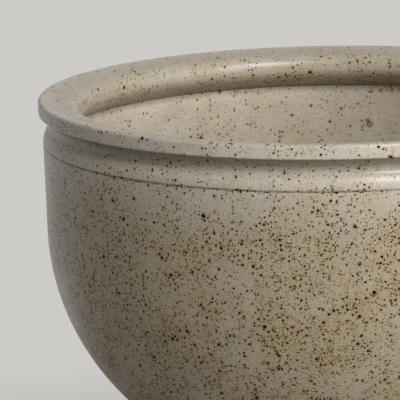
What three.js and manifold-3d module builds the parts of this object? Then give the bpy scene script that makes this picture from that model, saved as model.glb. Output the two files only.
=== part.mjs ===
// A stoneware jardiniere bowl that rests on a four-legged wooden stand.
// Millimetres, +Z up. The origin is on the floor, under the middle of the stand.

import * as THREE from 'three';
import { mergeVertices } from 'three/addons/utils/BufferGeometryUtils.js';
import Module from 'manifold-3d';

const wasm = await Module();
wasm.setup();

// ---- Driving dimensions of the bowl ----

const bowlHeight = 270;
const lipRadius = 215;
const lipThickness = 9.7;
const lipTopRounding = 2.5;
const lipBottomRounding = 1.5;
// The top of the rim falls inward from the lip and turns down over the roll's nose. Under the nose it
// leans back out from upright, to a small fillet against the wall.
const rimTopFall = THREE.MathUtils.degToRad(12);
const rollReach = 30.7;
const rollNoseDepth = 14.5;
const rollLean = THREE.MathUtils.degToRad(57);
const rollDepth = 31.5;
const rollFillet = 1;
// Outside, a shallow cove lies under the lip, and a rounded shoulder below it ends at an incised line.
const shoulderInset = 3;
const shoulderWidth = 8;
const shoulderTurn = THREE.MathUtils.degToRad(50);
const shoulderHeight = 15.5;
const lineDepth = 32.3;
const lineWidth = 1.2;
const lineCut = 0.6;
// The wall is nearly upright down to the belly, then runs in to the foot on a quarter of an ellipse.
const wallThickness = 9.5;
const bellyInset = 4;
const bellyDepth = 95;
const floorThickness = 11;
const footRadius = 101;
const footHeight = 6.4;
const footRingWidth = 14;
const footRecess = 5;
const footRounding = 1.2;

// ---- Driving dimensions of the stand ----

const railTop = 205;
const railHeight = 44;
const railWidth = 22;
const railRounding = 2;
const legSpread = 160;
const legTopRadius = 17;
const legEndRadius = 11;
const legTopRounding = 5;
const legEndChamfer = 1.2;
const bowlToLegGap = 10;
const tenonHeight = 28;
const tenonWidth = 10;
const tenonPastAxis = 7;
const pegRadius = 3;
const pegSpacing = 14;
const screwLength = 34;
const screwRadius = 2.5;
const screwHeadRadius = 5;
const screwHeadHeight = 3;
const screwSlotWidth = 1.2;
const screwSlotDepth = 1.3;
const screwSink = 0.4;
const padRadius = 9;
const padThickness = 3;
const glideRadius = 9.5;
const glideHeight = 5;
const glideRounding = 2.5;
const nailRadius = 1.5;
const nailLength = 16;

// Room left between a piece and the hole or slot that it fits.
const clearance = 0.3;

// ---- Worked out from the dimensions above ----

const shoulderRadius = lipRadius - shoulderInset;
const bellyRadius = lipRadius - bellyInset;
const bellyHeight = bowlHeight - bellyDepth;
const bellyDrop = quarterDrop(bellyRadius, footRadius, bellyHeight - footHeight);
const floorHeight = footRecess + floorThickness;
const padCircle = footRadius - footRingWidth / 2;
const bowlSeat = railTop + padThickness;
const railMiddle = railTop - railHeight / 2;
const legTop = bowlSeat + bowlUnderside(legSpread - legTopRadius) - bowlToLegGap;

const bowlSegments = 60;
const legSegments = 24;
const roundSegments = 16;

// ---- Materials ----

const glaze = new THREE.MeshStandardMaterial({ color: '#b8ab97', roughness: 0.5, metalness: 0 });
const walnut = new THREE.MeshStandardMaterial({ color: '#6b4529', roughness: 0.55, metalness: 0 });
const maple = new THREE.MeshStandardMaterial({ color: '#b98a5a', roughness: 0.6, metalness: 0 });
const felt = new THREE.MeshStandardMaterial({ color: '#3d332c', roughness: 1, metalness: 0 });
const brass = new THREE.MeshStandardMaterial({ color: '#a98448', roughness: 0.35, metalness: 1 });
const nylon = new THREE.MeshStandardMaterial({ color: '#2f2c2a', roughness: 0.5, metalness: 0 });

// ---- Outlines: a radius and a height for each point, in the order that a lathe turns them ----

/** Height of a quarter ellipse as wide as `radius` that has come in to `endRadius` after a fall of `fall`. */
function quarterDrop(radius, endRadius, fall) {
  return fall / Math.sqrt(1 - (endRadius / radius) ** 2);
}

/** Height of the bowl's outside above its own foot, at a radius between the foot and the belly. */
function bowlUnderside(radius) {
  const share = Math.min(radius / bellyRadius, 1);
  return bellyHeight - bellyDrop * Math.sqrt(1 - share ** 2);
}

/** Points along part of an ellipse. Angle 0 points away from the axis and a quarter turn points up. */
function ellipsePoints(centre, halfWidth, halfHeight, from, to, steps) {
  const curve = new THREE.EllipseCurve(centre.x, centre.y, halfWidth, halfHeight, from, to, to < from);
  return curve.getPoints(steps);
}

/** Points along a Bezier curve that leaves `start` and reaches `end` along two given handles. */
function bezierPoints(start, startHandle, endHandle, end, steps) {
  const leaving = start.clone().add(startHandle);
  const arriving = end.clone().sub(endHandle);
  return new THREE.CubicBezierCurve(start, leaving, arriving, end).getPoints(steps);
}

/** The same outline without the points that repeat the one before. */
function withoutRepeats(points) {
  return points.filter((point, i) => i === 0 || point.distanceTo(points[i - 1]) > 1e-4);
}

function footOutline() {
  const ringInside = footRadius - footRingWidth;
  return [
    new THREE.Vector2(0, footRecess),
    new THREE.Vector2(ringInside - footRounding, footRecess),
    new THREE.Vector2(ringInside, footRecess - footRounding),
    new THREE.Vector2(ringInside, footRounding),
    new THREE.Vector2(ringInside + footRounding, 0),
    new THREE.Vector2(footRadius - footRounding, 0),
    new THREE.Vector2(footRadius, footRounding),
  ];
}

function outerWallOutline() {
  const start = -Math.acos(footRadius / bellyRadius);
  const belly = new THREE.Vector2(0, bellyHeight);
  const lineHeight = bowlHeight - lineDepth;
  return [
    ...ellipsePoints(belly, bellyRadius, bellyDrop, start, 0, 10),
    new THREE.Vector2(shoulderRadius, lineHeight - lineWidth / 2),
    new THREE.Vector2(shoulderRadius - lineCut, lineHeight),
  ];
}

function shoulderAndCoveOutline() {
  const centre = new THREE.Vector2(shoulderRadius - shoulderWidth, bowlHeight - lineDepth + lineWidth / 2);
  const shoulder = ellipsePoints(centre, shoulderWidth, shoulderHeight, 0, shoulderTurn, 4);
  const coveStart = shoulder.at(-1);
  const coveEnd = new THREE.Vector2(lipRadius - lipBottomRounding, bowlHeight - lipThickness);
  const along = new THREE.Vector2(
    -shoulderWidth * Math.sin(shoulderTurn),
    shoulderHeight * Math.cos(shoulderTurn),
  );
  const startHandle = along.setLength(shoulderWidth * 0.8);
  const endHandle = new THREE.Vector2(shoulderWidth, 0);
  return [...shoulder, ...bezierPoints(coveStart, startHandle, endHandle, coveEnd, 5)];
}

function lipOutline() {
  const bottomCorner = new THREE.Vector2(
    lipRadius - lipBottomRounding,
    bowlHeight - lipThickness + lipBottomRounding,
  );
  const topCorner = new THREE.Vector2(lipRadius - lipTopRounding, bowlHeight - lipTopRounding);
  const topTurn = Math.PI / 2 + rimTopFall;
  return [
    ...ellipsePoints(bottomCorner, lipBottomRounding, lipBottomRounding, -Math.PI / 2, 0, 2),
    ...ellipsePoints(topCorner, lipTopRounding, lipTopRounding, 0, Math.PI / 2, 3),
    ...ellipsePoints(topCorner, lipTopRounding, lipTopRounding, Math.PI / 2, topTurn, 1),
  ];
}

function rollOutline() {
  const nose = new THREE.Vector2(lipRadius - rollReach, bowlHeight - rollNoseDepth);
  const top = lipOutline().at(-1);
  const fall = new THREE.Vector2(-Math.cos(rimTopFall), -Math.sin(rimTopFall));
  const startHandle = fall.setLength(rollReach * 0.45);
  const endHandle = new THREE.Vector2(0, -rollNoseDepth * 0.65);
  const filletCentre = new THREE.Vector2(
    shoulderRadius - wallThickness - rollFillet,
    bowlHeight - rollDepth,
  );
  const fillet = ellipsePoints(filletCentre, rollFillet, rollFillet, rollLean, 0, 2);
  const underEnd = fillet[0];
  const underWidth = underEnd.x - nose.x;
  const corner = new THREE.Vector2(nose.x, underEnd.y + underWidth / Math.tan(rollLean));
  const underStartHandle = corner.clone().sub(nose);
  const underEndHandle = underEnd.clone().sub(corner).multiplyScalar(0.7);
  return [
    ...bezierPoints(top, startHandle, endHandle, nose, 6),
    ...bezierPoints(nose, underStartHandle, underEndHandle, underEnd, 5),
    ...fillet,
  ];
}

function innerWallOutline() {
  const insideRadius = bellyRadius - wallThickness;
  const floorRadius = footRadius * insideRadius / bellyRadius;
  const insideDrop = quarterDrop(insideRadius, floorRadius, bellyHeight - floorHeight);
  const belly = new THREE.Vector2(0, bellyHeight);
  const end = -Math.acos(floorRadius / insideRadius);
  return [
    ...ellipsePoints(belly, insideRadius, insideDrop, 0, end, 8),
    new THREE.Vector2(0, floorHeight),
  ];
}

/** Radius of a leg at a height: it tapers evenly from its top to the floor end. */
function legRadiusAt(height) {
  const share = (height - glideHeight) / (legTop - glideHeight);
  return THREE.MathUtils.lerp(legEndRadius, legTopRadius, share);
}

/** Outline of a leg, or with `room` that of the space that a rail's end leaves around it. */
function legOutline(room = 0) {
  const shoulder = legTop - legTopRounding;
  const topCorner = new THREE.Vector2(legRadiusAt(shoulder) - legTopRounding, shoulder);
  const rounding = ellipsePoints(topCorner, legTopRounding, legTopRounding, 0, Math.PI / 2, 4);
  const outline = [
    new THREE.Vector2(legEndRadius - legEndChamfer, glideHeight),
    new THREE.Vector2(legRadiusAt(glideHeight + legEndChamfer), glideHeight + legEndChamfer),
    ...rounding,
  ];
  const widened = outline.map((point) => new THREE.Vector2(point.x + room, point.y));
  return [new THREE.Vector2(0, glideHeight), ...widened, new THREE.Vector2(0, legTop)];
}

/** Outline of the screw, or with `room` that of its hole, which then also opens below the rail. */
function screwOutline(room = 0) {
  const bottom = railTop - railHeight + screwSink;
  const mouth = room > 0 ? screwSink + 1 : 0;
  return [
    new THREE.Vector2(0, bottom - mouth),
    new THREE.Vector2(screwHeadRadius + room, bottom - mouth),
    new THREE.Vector2(screwHeadRadius + room, bottom + room),
    new THREE.Vector2(screwRadius + room, bottom + screwHeadHeight + room),
    new THREE.Vector2(screwRadius + room, bottom + screwLength - screwRadius),
    new THREE.Vector2(0, bottom + screwLength + room),
  ];
}

function glideOutline() {
  const corner = new THREE.Vector2(glideRadius - glideRounding, glideRounding);
  return [
    new THREE.Vector2(0, 0),
    ...ellipsePoints(corner, glideRounding, glideRounding, -Math.PI / 2, 0, 4),
    new THREE.Vector2(glideRadius, glideHeight),
    new THREE.Vector2(nailRadius, glideHeight),
    new THREE.Vector2(nailRadius, glideHeight + nailLength - nailRadius * 2),
    new THREE.Vector2(0, glideHeight + nailLength),
  ];
}

// ---- Shapes ----

/** Solid of revolution about the Z axis. */
function turned(outline, segments) {
  const geometry = new THREE.LatheGeometry(withoutRepeats(outline), segments);
  return geometry.rotateX(Math.PI / 2);
}

/** Upright round bar, standing on the height `bottom`. */
function roundBar(radius, length, bottom = 0) {
  const geometry = new THREE.CylinderGeometry(radius, radius, length, roundSegments);
  return geometry.rotateX(Math.PI / 2).translate(0, 0, bottom + length / 2);
}

/** Box between two corners. */
function block(low, high) {
  const size = new THREE.Vector3().subVectors(high, low);
  const middle = new THREE.Vector3().addVectors(low, high).multiplyScalar(0.5);
  return new THREE.BoxGeometry(size.x, size.y, size.z).translate(middle.x, middle.y, middle.z);
}

/** Bar along X between the axes of two opposite legs, with rounded long edges. */
function railBar() {
  const halfWidth = railWidth / 2;
  const flat = halfWidth - railRounding;
  const low = railTop - railHeight + railRounding;
  const high = railTop - railRounding;
  const section = new THREE.Shape();
  section.absarc(flat, high, railRounding, 0, Math.PI / 2);
  section.absarc(-flat, high, railRounding, Math.PI / 2, Math.PI);
  section.absarc(-flat, low, railRounding, Math.PI, Math.PI * 1.5);
  section.absarc(flat, low, railRounding, Math.PI * 1.5, Math.PI * 2);
  const bar = new THREE.ExtrudeGeometry(section, {
    depth: legSpread * 2,
    bevelEnabled: false,
    curveSegments: 2,
  });
  // The section is drawn across and up, and pushed along Z: two turns lay the bar along X.
  return bar.rotateX(Math.PI / 2).rotateZ(Math.PI / 2).translate(-legSpread, 0, 0);
}

// ---- Joining and cutting ----

function toSolid(geometry) {
  const bare = new THREE.BufferGeometry();
  bare.setAttribute('position', geometry.getAttribute('position').clone());
  if (geometry.index) {
    bare.setIndex(geometry.index.clone());
  }
  const merged = mergeVertices(bare, 1e-4);
  const corners = merged.index.array;
  const triangles = [];
  for (let i = 0; i < corners.length; i += 3) {
    const [a, b, c] = corners.slice(i, i + 3);
    if (a !== b && b !== c && c !== a) {
      triangles.push(a, b, c);
    }
  }
  return new wasm.Manifold(new wasm.Mesh({
    numProp: 3,
    vertProperties: new Float32Array(merged.getAttribute('position').array),
    triVerts: new Uint32Array(triangles),
  }));
}

function toGeometry(solid) {
  const mesh = solid.getMesh();
  const geometry = new THREE.BufferGeometry();
  geometry.setAttribute('position', new THREE.BufferAttribute(new Float32Array(mesh.vertProperties), 3));
  geometry.setIndex(new THREE.BufferAttribute(new Uint32Array(mesh.triVerts), 1));
  geometry.computeVertexNormals();
  return geometry;
}

/** The first geometry less all of the others. */
function cutAway(geometry, cutters) {
  const solid = cutters.reduce((rest, cutter) => rest.subtract(toSolid(cutter)), toSolid(geometry));
  return toGeometry(solid);
}

function joined(geometries) {
  const [first, ...others] = geometries.map(toSolid);
  return toGeometry(others.reduce((whole, next) => whole.add(next), first));
}

function piece(name, geometry, material) {
  const mesh = new THREE.Mesh(geometry, material.clone());
  mesh.name = name;
  return mesh;
}

// ---- Pieces of the stand ----

/** Heights of the two pegs through each tenon. */
const pegHeights = [-1, 1].map((side) => railMiddle + side * pegSpacing / 2);

/** Peg-sized bar across X through the axis of a leg that stands at `distance` along X. */
function crossBar(radius, length, distance, height) {
  const bar = new THREE.CylinderGeometry(radius, radius, length, roundSegments);
  return bar.translate(distance, 0, height);
}

/** Tenon along X into a leg at `distance` along X, or with `room` its mortise. */
function tenonBlock(side, room = 0) {
  const reach = legSpread + tenonPastAxis + room;
  const root = legSpread - legTopRadius - tenonWidth;
  const halfWidth = tenonWidth / 2 + room;
  const halfHeight = tenonHeight / 2 + room;
  const low = new THREE.Vector3(Math.min(side * root, side * reach), -halfWidth, railMiddle - halfHeight);
  const high = new THREE.Vector3(Math.max(side * root, side * reach), halfWidth, railMiddle + halfHeight);
  return block(low, high);
}

/** Rail along X, with a notch at its middle that opens up or down for the other rail. */
function rail(name, notchOpensUp) {
  const sides = [-1, 1];
  const notchHalf = railWidth / 2 + clearance;
  const beyond = railHeight;
  const notch = block(
    new THREE.Vector3(-notchHalf, -railWidth, notchOpensUp ? railMiddle : railMiddle - beyond),
    new THREE.Vector3(notchHalf, railWidth, notchOpensUp ? railMiddle + beyond : railMiddle),
  );
  const legSpaces = sides.map((side) => turned(legOutline(clearance), legSegments).translate(side * legSpread, 0, 0));
  const coped = cutAway(railBar(), legSpaces);
  const tenoned = joined([coped, ...sides.map((side) => tenonBlock(side))]);
  const pegHoles = sides.flatMap((side) => pegHeights.map(
    (height) => crossBar(pegRadius + clearance, railWidth * 2, side * legSpread, height),
  ));
  const screwHole = turned(screwOutline(clearance), roundSegments);
  return piece(name, cutAway(tenoned, [notch, screwHole, ...pegHoles]), walnut);
}

/** Leg, with its pegs and glide, at the end of a rail along X. */
function legWithFittings(place) {
  const corner = new THREE.Group();
  const body = turned(legOutline(), legSegments).translate(legSpread, 0, 0);
  const pegHoles = pegHeights.map(
    (height) => crossBar(pegRadius + clearance, legTopRadius * 4, legSpread, height),
  );
  const nailHole = roundBar(nailRadius + clearance, nailLength + 1 + clearance, glideHeight - 1);
  nailHole.translate(legSpread, 0, 0);
  const cutters = [tenonBlock(1, clearance), nailHole, ...pegHoles];
  corner.add(piece(`leg_${place}`, cutAway(body, cutters), walnut));
  pegHeights.forEach((height, i) => {
    const halfLength = Math.sqrt(legRadiusAt(height) ** 2 - pegRadius ** 2);
    const peg = crossBar(pegRadius, halfLength * 2 - clearance, legSpread, height);
    corner.add(piece(`peg_${place}_${i === 0 ? 'lower' : 'upper'}`, peg, maple));
  });
  const glide = turned(glideOutline(), roundSegments).translate(legSpread, 0, 0);
  corner.add(piece(`floor_glide_${place}`, glide, nylon));
  return corner;
}

function screw() {
  const bottom = railTop - railHeight + screwSink;
  const slot = block(
    new THREE.Vector3(-screwHeadRadius * 2, -screwSlotWidth / 2, bottom - 1),
    new THREE.Vector3(screwHeadRadius * 2, screwSlotWidth / 2, bottom + screwSlotDepth),
  );
  return piece('centre_screw', cutAway(turned(screwOutline(), roundSegments), [slot]), brass);
}

function pad(place) {
  const disc = roundBar(padRadius, padThickness, railTop).translate(padCircle, 0, 0);
  return piece(`felt_pad_${place}`, disc, felt);
}

// ---- The bowl ----

function bowl() {
  const outline = [
    ...footOutline(),
    ...outerWallOutline(),
    ...shoulderAndCoveOutline(),
    ...lipOutline(),
    ...rollOutline(),
    ...innerWallOutline(),
  ];
  const mesh = piece('bowl', turned(outline, bowlSegments), glaze);
  mesh.position.z = bowlSeat;
  return mesh;
}

// ---- Assembly ----

const jardiniereOnStand = new THREE.Group();
const stand = new THREE.Group();

stand.add(rail('rail_lower', true));

const upperRail = rail('rail_upper', false);
upperRail.rotation.z = Math.PI / 2;
stand.add(upperRail);

// The four ends of the rails, counted round from the right as the bowl is seen from the front.
['right', 'back', 'left', 'front'].forEach((place, quarter) => {
  const end = new THREE.Group();
  end.add(legWithFittings(place));
  end.add(pad(place));
  end.rotation.z = quarter * Math.PI / 2;
  stand.add(end);
});

stand.add(screw());
jardiniereOnStand.add(stand);
jardiniereOnStand.add(bowl());

export default jardiniereOnStand;
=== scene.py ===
"""A speckled stoneware jardiniere bowl, resting on a four-legged walnut stand.

Metres, +Z up, with the origin on the floor under the middle of the stand. The sizes below that are
marked mm are written in millimetres and turned to metres where a surface is made.
"""

import math

import bpy
import numpy as np
from mathutils import Matrix, Vector


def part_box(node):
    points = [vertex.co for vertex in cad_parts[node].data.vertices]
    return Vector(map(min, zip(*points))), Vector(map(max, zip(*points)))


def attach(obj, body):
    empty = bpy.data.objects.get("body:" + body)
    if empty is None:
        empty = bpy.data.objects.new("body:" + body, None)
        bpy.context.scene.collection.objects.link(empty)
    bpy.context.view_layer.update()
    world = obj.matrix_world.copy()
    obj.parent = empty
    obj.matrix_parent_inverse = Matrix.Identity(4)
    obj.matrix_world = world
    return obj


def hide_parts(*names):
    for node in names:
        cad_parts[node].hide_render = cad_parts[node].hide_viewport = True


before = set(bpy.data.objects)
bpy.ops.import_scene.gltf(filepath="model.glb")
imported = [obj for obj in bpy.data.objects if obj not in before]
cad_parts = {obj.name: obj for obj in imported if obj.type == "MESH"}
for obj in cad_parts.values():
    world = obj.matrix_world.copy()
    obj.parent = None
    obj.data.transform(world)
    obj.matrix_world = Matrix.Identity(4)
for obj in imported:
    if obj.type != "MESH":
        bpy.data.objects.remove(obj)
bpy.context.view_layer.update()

MM = 0.001
QUARTER = math.pi / 2

# ---- The bowl, in mm, with heights from its own foot ----

BOWL_LOW, BOWL_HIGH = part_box("bowl")
BOWL_SEAT = BOWL_LOW.z / MM
BOWL_HEIGHT = (BOWL_HIGH.z - BOWL_LOW.z) / MM
LIP_RADIUS = BOWL_HIGH.x / MM
LIP_THICKNESS = 10.5
LIP_TOP_ROUNDING = 2.5
LIP_BOTTOM_ROUNDING = 1.5
RIM_TOP_FALL = math.radians(12)
ROLL_REACH = 30.7
ROLL_NOSE_DEPTH = 14.5
ROLL_LEAN = math.radians(57)
ROLL_DEPTH = 31
ROLL_FILLET = 1
# Handles of the roll's curves: on its top as a share of its reach, and at the fillet as a length.
ROLL_TOP_FULLNESS = 0.55
ROLL_LEAN_HANDLE = 3
SHOULDER_INSET = 3
SHOULDER_WIDTH = 8
SHOULDER_TURN = math.radians(53)
SHOULDER_HEIGHT = 12
# The cove's handles, as shares of the shoulder's width: along the shoulder, and in and down at the lip.
COVE_START = 0.4
COVE_END = np.array([0.75, 0.45])
LINE_DEPTH = 32.3
LINE_WIDTH = 1.2
LINE_CUT = 0.6
WALL = 9.5
BELLY_INSET = 4
BELLY_DEPTH = 95
FLOOR_THICKNESS = 11
FOOT_RADIUS = 101
FOOT_HEIGHT = 6.4
FOOT_RING_WIDTH = 14
FOOT_RECESS = 5
FOOT_ROUNDING = 1.2
BOWL_SEGMENTS = 360
# How far the thrown wall strays from a true circle, and how many lobes that has.
WALL_STRAY = 0.25
STRAY_LOBES = (2, 3, 5)

SHOULDER_RADIUS = LIP_RADIUS - SHOULDER_INSET
BELLY_RADIUS = LIP_RADIUS - BELLY_INSET
BELLY_HEIGHT = BOWL_HEIGHT - BELLY_DEPTH
LINE_HEIGHT = BOWL_HEIGHT - LINE_DEPTH
FLOOR_HEIGHT = FOOT_RECESS + FLOOR_THICKNESS

# ---- The stand, in mm ----

RAIL_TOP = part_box("rail_lower")[1].z / MM
RAIL_HEIGHT = 44
RAIL_WIDTH = 22
RAIL_ROUNDING = 2
LEG_SPREAD = 160
LEG_FLOOR_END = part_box("leg_right")[0].z / MM
LEG_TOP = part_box("leg_right")[1].z / MM
LEG_TOP_RADIUS = 17
LEG_END_RADIUS = 11
LEG_TOP_ROUNDING = 5
LEG_END_CHAMFER = 1.2
LEG_SEGMENTS = 96
TENON_HEIGHT = 28
TENON_WIDTH = 10
TENON_PAST_AXIS = 7
PEG_RADIUS = 3
PEG_SPACING = 14
PEG_PROUD = 0.25
PEG_EDGE = 0.35
PEG_SEGMENTS = 32
SCREW_LENGTH = 34
SCREW_RADIUS = 2.5
SCREW_HEAD_RADIUS = 5
SCREW_HEAD_HEIGHT = 3
SCREW_SLOT_WIDTH = 1.2
SCREW_SLOT_DEPTH = 1.3
SCREW_SINK = 0.4
SCREW_HEAD_EDGE = 0.4
PAD_RADIUS = 9
PAD_THICKNESS = 3
PAD_ROUNDING = 0.6
GLIDE_RADIUS = 9.5
GLIDE_HEIGHT = 5
GLIDE_ROUNDING = 2.5
GLIDE_CHAMFER = 0.3
NAIL_RADIUS = 1.5
NAIL_LENGTH = 16
NAIL_TIP = 3
CLEARANCE = 0.3

RAIL_MIDDLE = RAIL_TOP - RAIL_HEIGHT / 2
PAD_CIRCLE = FOOT_RADIUS - FOOT_RING_WIDTH / 2
PEG_HEIGHTS = {"lower": RAIL_MIDDLE - PEG_SPACING / 2, "upper": RAIL_MIDDLE + PEG_SPACING / 2}
PLACES = ("right", "back", "left", "front")

# ---- The studio, in metres, with the lens and the sensor in mm ----

CAMERA_PLACE = (0, -2.1811, BOWL_HIGH.z + 0.3746)
CAMERA_TURN = math.radians(-2.56)
CAMERA_FALL = math.radians(11.79)
CAMERA_ROLL = math.radians(-1.30)
LENS = 270
SENSOR = 36
PALE = "#cdcbc8"
AMBIENT = 0.02
FLOOR_REACH = 12
# The floor's own shading fades out between these distances from the middle, in mm.
FLOOR_FADE = (350, 1100)
LAMP_DISTANCE = 5.0
# Each lamp's azimuth and elevation in degrees, its side in metres and its power in watts.
LAMPS = {
    "key_softbox": (33, 33, 2.3, 158),
    "side_softbox": (53, 13, 2.0, 52),
    "far_side_softbox": (82, 6, 2.0, 25),
    "left_softbox": (-100, 50, 2.0, 16),
}


# ==== Outlines: rows of a radius and a height, in mm ====


def arc(centre, half_width, half_height, start, end, count):
    """Part of an ellipse: its centre plus the half sizes times the cosine and sine of an angle that
    runs evenly from start to end. Angle 0 points away from the axis and a quarter turn points up."""
    turn = np.linspace(start, end, count)
    return np.stack([centre[0] + half_width * np.cos(turn), centre[1] + half_height * np.sin(turn)], 1)


def bezier(start, leaving, arriving, end, count):
    """Cubic Bezier curve: the four points weighted by the terms of ((1 - t) + t) cubed."""
    t = np.linspace(0, 1, count)[:, None]
    weights = ((1 - t) ** 3, 3 * t * (1 - t) ** 2, 3 * t ** 2 * (1 - t), t ** 3)
    return sum(w * np.asarray(p, float) for w, p in zip(weights, (start, leaving, arriving, end)))


def straight(start, end, count):
    """Even steps from one point to another."""
    return np.linspace(start, end, count)


def quarter_drop(radius, end_radius, fall):
    """Height of a quarter ellipse as wide as radius that has come in to end_radius after a fall."""
    return fall / math.sqrt(1 - (end_radius / radius) ** 2)


def joined(*stretches):
    """Stretches of outline one after the other, less the points that repeat the one before."""
    outline = np.concatenate(stretches)
    step = np.linalg.norm(np.diff(outline, axis=0), axis=1)
    return outline[np.concatenate([[True], step > 1e-4])]


def foot_outline():
    """From the axis out along the recess, and round the foot's ring with quarter circles at its edges."""
    inside = FOOT_RADIUS - FOOT_RING_WIDTH
    r = FOOT_ROUNDING
    return joined(
        straight((0, FOOT_RECESS), (inside - r, FOOT_RECESS), 9),
        arc((inside - r, FOOT_RECESS - r), r, r, QUARTER, 0, 4),
        arc((inside + r, r), r, r, math.pi, 1.5 * math.pi, 4),
        straight((inside + r, 0), (FOOT_RADIUS - r, 0), 5),
        arc((FOOT_RADIUS - r, r), r, r, -QUARTER, 0, 5),
    )


def outer_wall_outline():
    """Up the foot, out along a quarter of an ellipse to the belly, and straight up to the incised
    line, whose depth goes as the square of a cosine across its width."""
    drop = quarter_drop(BELLY_RADIUS, FOOT_RADIUS, BELLY_HEIGHT - FOOT_HEIGHT)
    start = -math.acos(FOOT_RADIUS / BELLY_RADIUS)
    wall_end = np.array([SHOULDER_RADIUS, LINE_HEIGHT - LINE_WIDTH / 2])
    near_line = wall_end - (0, LINE_WIDTH)
    groove = np.linspace(-1, 1, 9)[:, None]
    return joined(
        straight((FOOT_RADIUS, FOOT_ROUNDING), (FOOT_RADIUS, FOOT_HEIGHT), 4),
        arc((0, BELLY_HEIGHT), BELLY_RADIUS, drop, start, 0, 52),
        straight((BELLY_RADIUS, BELLY_HEIGHT), near_line, 14),
        straight(near_line, wall_end, 4),
        np.hstack([
            SHOULDER_RADIUS - LINE_CUT * np.cos(groove * QUARTER) ** 2,
            LINE_HEIGHT + groove * LINE_WIDTH / 2,
        ]),
    )


def shoulder_and_cove_outline():
    """Part of an ellipse for the shoulder, and then a Bezier curve that leaves along it and hollows
    out under the lip."""
    centre = (SHOULDER_RADIUS - SHOULDER_WIDTH, LINE_HEIGHT + LINE_WIDTH / 2)
    shoulder = arc(centre, SHOULDER_WIDTH, SHOULDER_HEIGHT, 0, SHOULDER_TURN, 14)
    along = np.array([
        -SHOULDER_WIDTH * math.sin(SHOULDER_TURN),
        SHOULDER_HEIGHT * math.cos(SHOULDER_TURN),
    ])
    along *= SHOULDER_WIDTH * COVE_START / np.linalg.norm(along)
    end = np.array([LIP_RADIUS - LIP_BOTTOM_ROUNDING, BOWL_HEIGHT - LIP_THICKNESS])
    cove = bezier(shoulder[-1], shoulder[-1] + along, end - SHOULDER_WIDTH * COVE_END, end, 16)
    return joined(shoulder, cove)


def lip_outline():
    """Quarter circle, upright edge, and a rounder one that turns on until the rim's top falls inward."""
    low = (LIP_RADIUS - LIP_BOTTOM_ROUNDING, BOWL_HEIGHT - LIP_THICKNESS + LIP_BOTTOM_ROUNDING)
    high = (LIP_RADIUS - LIP_TOP_ROUNDING, BOWL_HEIGHT - LIP_TOP_ROUNDING)
    return joined(
        arc(low, LIP_BOTTOM_ROUNDING, LIP_BOTTOM_ROUNDING, -QUARTER, 0, 7),
        straight((LIP_RADIUS, low[1]), (LIP_RADIUS, high[1]), 6),
        arc(high, LIP_TOP_ROUNDING, LIP_TOP_ROUNDING, 0, QUARTER + RIM_TOP_FALL, 11),
    )


def roll_outline():
    """Two Bezier curves that meet upright at the roll's nose: one from the lip, along the fall of the
    rim's top, and one back out under the nose to a small fillet against the wall."""
    nose = np.array([LIP_RADIUS - ROLL_REACH, BOWL_HEIGHT - ROLL_NOSE_DEPTH])
    top = lip_outline()[-1]
    fall = np.array([-math.cos(RIM_TOP_FALL), -math.sin(RIM_TOP_FALL)]) * ROLL_REACH * ROLL_TOP_FULLNESS
    rise = np.array([0, ROLL_NOSE_DEPTH])
    turning = np.array([0, -(ROLL_DEPTH - ROLL_NOSE_DEPTH) / 2])
    centre = (SHOULDER_RADIUS - WALL - ROLL_FILLET, BOWL_HEIGHT - ROLL_DEPTH)
    fillet = arc(centre, ROLL_FILLET, ROLL_FILLET, ROLL_LEAN, 0, 6)
    leaning = np.array([math.sin(ROLL_LEAN), -math.cos(ROLL_LEAN)]) * ROLL_LEAN_HANDLE
    return joined(
        bezier(top, top + fall, nose + rise, nose, 26),
        bezier(nose, nose + turning, fillet[0] - leaning, fillet[0], 20),
        fillet,
    )


def inner_wall_outline():
    """Down the inside, one wall's thickness in: straight to the belly, a quarter of an ellipse to the
    floor's edge, and level to the axis."""
    inside = BELLY_RADIUS - WALL
    floor_radius = FOOT_RADIUS * inside / BELLY_RADIUS
    drop = quarter_drop(inside, floor_radius, BELLY_HEIGHT - FLOOR_HEIGHT)
    end = -math.acos(floor_radius / inside)
    wall_start = (SHOULDER_RADIUS - WALL, BOWL_HEIGHT - ROLL_DEPTH)
    return joined(
        straight(wall_start, (inside, BELLY_HEIGHT), 14),
        arc((0, BELLY_HEIGHT), inside, drop, 0, end, 46),
        straight((floor_radius, FLOOR_HEIGHT), (0, FLOOR_HEIGHT), 9),
    )


# ==== Surfaces ====


def new_piece(name, points, faces, material):
    """A smooth-shaded object at the origin from points in metres and rows of corner numbers."""
    mesh = bpy.data.meshes.new(name)
    mesh.from_pydata(points, [], faces)
    if material:
        mesh.materials.append(material)
    mesh.polygons.foreach_set("use_smooth", np.ones(len(mesh.polygons), bool))
    mesh.update()
    piece = bpy.data.objects.new(name, mesh)
    bpy.context.scene.collection.objects.link(piece)
    return piece


def closed_grid(name, rings, ends, material):
    """Closed surface through rings of points, each joined to the next, with a fan of triangles from
    the first ring to the first end point and from the last ring to the second. All in mm."""
    rows, segments = rings.shape[:2]
    points = np.concatenate([rings.reshape(-1, 3), ends]) * MM
    row, column = np.meshgrid(np.arange(rows - 1), np.arange(segments), indexing="ij")
    after = (column + 1) % segments
    low, high = row * segments, (row + 1) * segments
    quads = np.stack([low + column, low + after, high + after, high + column], -1).reshape(-1, 4)
    here = np.arange(segments)
    following = (here + 1) % segments
    last = (rows - 1) * segments
    first_fan = np.stack([np.full(segments, len(points) - 2), following, here], -1)
    last_fan = np.stack([np.full(segments, len(points) - 1), last + here, last + following], -1)
    return new_piece(name, points, quads.tolist() + first_fan.tolist() + last_fan.tolist(), material)


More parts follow.
